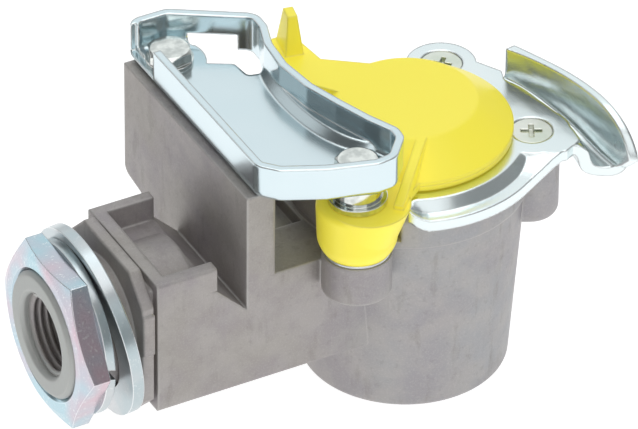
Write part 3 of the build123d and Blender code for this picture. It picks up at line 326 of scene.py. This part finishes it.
def port_thread():
    """Screw thread in the nipple's port: a flat-topped ridge wound by the Screw modifier."""
    bpy.ops.object.select_all(action="DESELECT")
    bpy.ops.mesh.primitive_circle_add(vertices=4, radius=1.0, fill_type="NGON", location=(0, 0, 0))
    ridge = bpy.context.object
    ridge.name = "port_thread"
    foot, crest = THREAD_PITCH * THREAD_FOOT, THREAD_PITCH * THREAD_CREST
    outline = [(THREAD_ROOT_R, -foot), (THREAD_ROOT_R, foot),
               (THREAD_CREST_R, crest), (THREAD_CREST_R, -crest)]
    for vertex, (radius, height) in zip(ridge.data.vertices, outline):
        vertex.co = (radius, 0.0, height)
    winding = ridge.modifiers.new("winding", "SCREW")
    winding.angle = 2 * pi * THREAD_TURNS
    winding.screw_offset = THREAD_PITCH * THREAD_TURNS
    winding.steps = winding.render_steps = STEPS_PER_TURN * THREAD_TURNS
    winding.use_merge_vertices = False
    only(ridge)
    bpy.ops.object.modifier_apply(modifier="winding")
    bpy.ops.object.mode_set(mode="EDIT")
    bpy.ops.mesh.select_all(action="SELECT")
    bpy.ops.mesh.remove_doubles(threshold=MERGE_GAP)
    bpy.ops.mesh.fill_holes(sides=6)
    bpy.ops.mesh.normals_make_consistent(inside=False)
    bpy.ops.object.mode_set(mode="OBJECT")
    # this order lays the ridge's axis along X first, and then turns the ridge about X
    ridge.rotation_mode = "ZYX"
    ridge.rotation_euler = (THREAD_START, pi / 2, 0.0)
    ridge.location = (THREAD_END_X, 0.0, NIPPLE_Z)
    settle(ridge, "cast", "housing")


def cover_skirt():
    """Thin rim that hangs from the edge of the cover and closes the gap over the claw plate."""
    bpy.ops.object.select_all(action="DESELECT")
    bpy.ops.mesh.primitive_cylinder_add(
        vertices=SKIRT_SIDES, radius=SKIRT_R, depth=SKIRT_TOP - SKIRT_BASE, end_fill_type="NOTHING",
        location=(0, 0, (SKIRT_TOP + SKIRT_BASE) / 2))
    skirt = bpy.context.object
    skirt.name = "cover_skirt"
    bpy.ops.object.mode_set(mode="EDIT")
    bpy.ops.mesh.select_all(action="DESELECT")
    shell = bmesh.from_edit_mesh(skirt.data)
    for vertex in shell.verts:
        vertex.select = vertex.co.z < 0
    shell.select_flush_mode()
    bmesh.update_edit_mesh(skirt.data)
    bpy.ops.transform.resize(value=(SKIRT_DRAFT, SKIRT_DRAFT, 1.0))
    bpy.ops.object.mode_set(mode="OBJECT")
    wall = skirt.modifiers.new("wall", "SOLIDIFY")
    wall.thickness, wall.offset = SKIRT_WALL, -1.0
    bpy.ops.object.modifier_apply(modifier="wall")
    rounds = skirt.modifiers.new("rounds", "BEVEL")
    rounds.width, rounds.segments = SKIRT_ROUND, 2
    bpy.ops.object.modifier_apply(modifier="rounds")
    bpy.ops.object.shade_smooth_by_angle(angle=SMOOTH_UNDER)
    settle(skirt, "yellow", "cover")


def stage():
    """Lit table under the coupling."""
    bpy.ops.object.select_all(action="DESELECT")
    bpy.ops.mesh.primitive_plane_add(size=2 * FLOOR_HALF, location=(0, 0, 0))
    floor = bpy.context.object
    floor.name = "studio_floor"
    floor.data.materials.append(lit_table())


def softbox(name, place, aim, width, depth, power):
    """White rectangular light that faces a point."""
    light = bpy.data.lights.new(name, "AREA")
    light.shape = "RECTANGLE"
    light.size, light.size_y = width, depth
    light.energy = power
    lamp = bpy.data.objects.new(name, light)
    bpy.context.scene.collection.objects.link(lamp)
    lamp.location = place
    lamp.rotation_euler = (Vector(aim) - Vector(place)).to_track_quat("-Z", "Y").to_euler()


def studio_air():
    """Dim even light from all round, with bright and dark panels that the metal gives back."""
    world = bpy.data.worlds.new("studio_air")
    bpy.context.scene.world = world
    world.use_nodes = True
    nodes = world.node_tree.nodes
    nodes.clear()
    direction = add(nodes, "TexCoord").outputs["Generated"]
    light = AIR
    for aim, rim, core, strength in PANELS:
        towards = add(nodes, "VectorMath", {"operation": "DOT_PRODUCT"},
                      _0=direction, _1=aim).outputs["Value"]
        panel = add(nodes, "MapRange", {"interpolation_type": "SMOOTHSTEP"}, Value=towards,
                    From_Min=rim, From_Max=core, To_Max=strength).outputs[0]
        light = add(nodes, "Math", {"operation": "ADD"}, _0=light, _1=panel).outputs[0]
    air = add(nodes, "Background", Color=colour("fafeff"), Strength=light)
    add(nodes, "OutputWorld", Surface=air.outputs[0])


def camera():
    """Camera of the picture, turned about its own line of sight by the roll."""
    lens = bpy.data.cameras.new("camera")
    lens.sensor_width = SENSOR
    lens.lens = FOCAL_PIXELS * SENSOR / PICTURE_WIDTH
    lens.clip_end = VIEW_END
    eye = bpy.data.objects.new("camera", lens)
    bpy.context.scene.collection.objects.link(eye)
    turn, lift, roll = (radians(angle) for angle in (VIEW_AZIMUTH, VIEW_ELEVATION, VIEW_ROLL))
    forward = Vector((-sin(turn) * cos(lift), cos(turn) * cos(lift), -sin(lift)))
    level = Vector((cos(turn), sin(turn), 0.0))
    upright = level.cross(forward)
    right = cos(roll) * level + sin(roll) * upright
    up = cos(roll) * upright - sin(roll) * level
    place = -(VIEW_OFFSET[0] * right + VIEW_OFFSET[1] * up + VIEW_DISTANCE * forward)
    pose = Matrix((right, up, -forward)).transposed().to_4x4()
    pose.translation = place
    eye.matrix_world = pose
    bpy.context.scene.camera = eye


for node_name, finish_name in NODE_FINISH.items():
    dress(NODES[node_name], finish_name)
port_thread()
cover_skirt()

bpy.context.scene.view_settings.view_transform = "Standard"
stage()
softbox("front_softbox", *FRONT_SOFTBOX)
softbox("top_softbox", *TOP_SOFTBOX)
studio_air()
camera()
